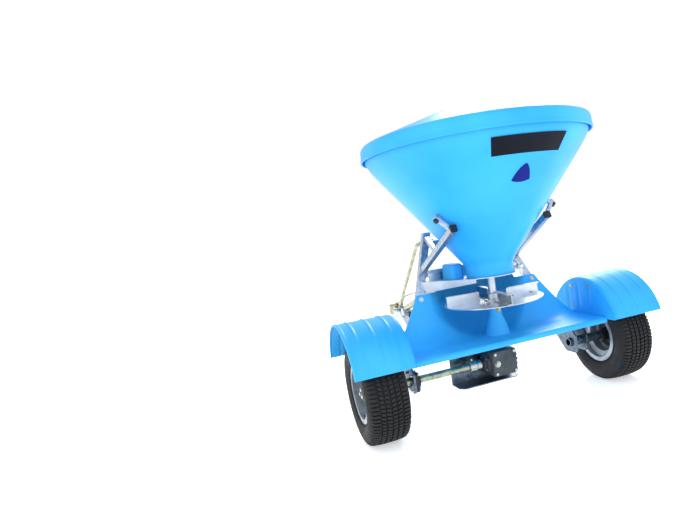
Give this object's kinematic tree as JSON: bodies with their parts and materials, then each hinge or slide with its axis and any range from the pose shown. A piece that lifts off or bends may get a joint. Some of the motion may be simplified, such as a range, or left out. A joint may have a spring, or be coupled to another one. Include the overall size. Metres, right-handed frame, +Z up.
{
  "type": "tow-behind broadcast spreader",
  "caption": "Tow-behind ground-driven broadcast spreader: round conical hopper with lid, vaned spinner disc, moulded apron and mudguards, tubular drawbar frame on two turf tyres.",
  "frame": {"origin": "centre of the bounding box at ground level, under the machine standing in its towing attitude", "axes": "+X to the right across the axle, +Y forward along the drawbar, +Z up"},
  "size_m": [1.346, 1.964, 1.2769],
  "materials": {
    "galvanised_steel": "hot-dip galvanised, faint spangle",
    "stainless_steel": "mill-finish sheet",
    "zinc_plated_steel": "bright zinc plate",
    "blue_polyethylene": "rotationally moulded, satin",
    "gearbox_iron": "painted dark grey casting",
    "black_iron": "black painted casting",
    "bearing_steel": "ground and oiled",
    "bush_bronze": "sintered",
    "tyre_rubber": "satin black rubber",
    "rim_silver": "silver-grey enamel",
    "black_plastic": "black moulded cap"
  },
  "bodies": {
    "chassis": {"main_beam": "galvanised_steel", "uprights": "galvanised_steel", "crossbars": "galvanised_steel", "struts": "galvanised_steel", "braces": "galvanised_steel", "hopper_arms": "galvanised_steel", "strut_end_caps": "black_plastic", "hopper_bolts": "zinc_plated_steel", "drawbar_arms": "galvanised_steel", "drawbar_head": "galvanised_steel", "centre_stay": "galvanised_steel", "coupling_body": "zinc_plated_steel", "pivot_pins": "zinc_plated_steel", "hopper": "blue_polyethylene", "deck_tray": "stainless_steel", "neck_clips": "galvanised_steel", "linkage_cover": "blue_polyethylene", "gate_guides": "galvanised_steel", "lever_bracket": "galvanised_steel", "apron": "blue_polyethylene", "shaft_boot": "blue_polyethylene", "left_mudguard": "blue_polyethylene", "right_mudguard": "blue_polyethylene", "guard_brackets": "galvanised_steel", "stub_axle": "galvanised_steel", "axle_nut": "zinc_plated_steel", "axle_hangers": "galvanised_steel", "shaft_bearing": "black_iron", "bearing_ring": "bearing_steel", "frame_bolts": "zinc_plated_steel", "gearbox_housing": "gearbox_iron", "gearbox_cover": "gearbox_iron", "gearbox_bolts": "zinc_plated_steel", "skid_plate": "galvanised_steel"},
    "drive_axle": {"left_tyre": "tyre_rubber", "left_rim": "rim_silver", "left_wheel_nuts": "zinc_plated_steel", "drive_hub": "black_iron", "shaft_end_bolt": "zinc_plated_steel", "drive_shaft": "zinc_plated_steel", "shaft_collar": "zinc_plated_steel", "input_shaft": "bearing_steel", "input_gear": "bearing_steel"},
    "idler_wheel": {"right_tyre": "tyre_rubber", "right_rim": "rim_silver", "right_wheel_nuts": "zinc_plated_steel", "idler_hub": "black_iron", "hub_bush": "bush_bronze", "hub_cap": "zinc_plated_steel"},
    "spinner": {"output_shaft": "bearing_steel", "spinner_disc": "stainless_steel", "spinner_hub": "stainless_steel", "vanes": "stainless_steel", "vane_bolts": "zinc_plated_steel", "agitator": "stainless_steel"},
    "lid": {"lid": "blue_polyethylene"},
    "lever": {"rate_lever": "galvanised_steel"},
    "gate": {"gate_plate": "stainless_steel", "gate_rod": "galvanised_steel"},
    "latch": {"coupling_latch": "zinc_plated_steel"}
  },
  "joints": [
    {"name": "drive_spin", "type": "hinge", "parent": "chassis", "child": "drive_axle", "pos_m": [0, -0.518, 0.203], "axis": [1, 0, 0], "continuous": true},
    {"name": "spinner_spin", "type": "hinge", "parent": "chassis", "child": "spinner", "pos_m": [0, -0.518, 0.458], "axis": [0, 0, 1], "continuous": true},
    {"name": "idler_spin", "type": "hinge", "parent": "chassis", "child": "idler_wheel", "pos_m": [0.557, -0.518, 0.203], "axis": [1, 0, 0], "continuous": true},
    {"name": "lid_lift", "type": "slide", "parent": "chassis", "child": "lid", "axis": [0, 0, 1], "range_m": [0, 0.35]},
    {"name": "lever_swing", "type": "hinge", "parent": "chassis", "child": "lever", "pos_m": [-0.07, 0.552, 0.342], "axis": [-1, 0, 0], "range_deg": [0, 60]},
    {"name": "gate_slide", "type": "slide", "parent": "chassis", "child": "gate", "axis": [0, 1, 0], "range_m": [0, 0.07]},
    {"name": "latch_lift", "type": "hinge", "parent": "chassis", "child": "latch", "pos_m": [0, 0.894, 0.312], "axis": [-1, 0, 0], "range_deg": [0, 60]}
  ],
  "couplings": [
    {"joint": "spinner_spin", "follows": "drive_spin", "ratio": 3},
    {"joint": "gate_slide", "follows": "lever_swing", "m_per_rad": 0.0668}
  ]
}
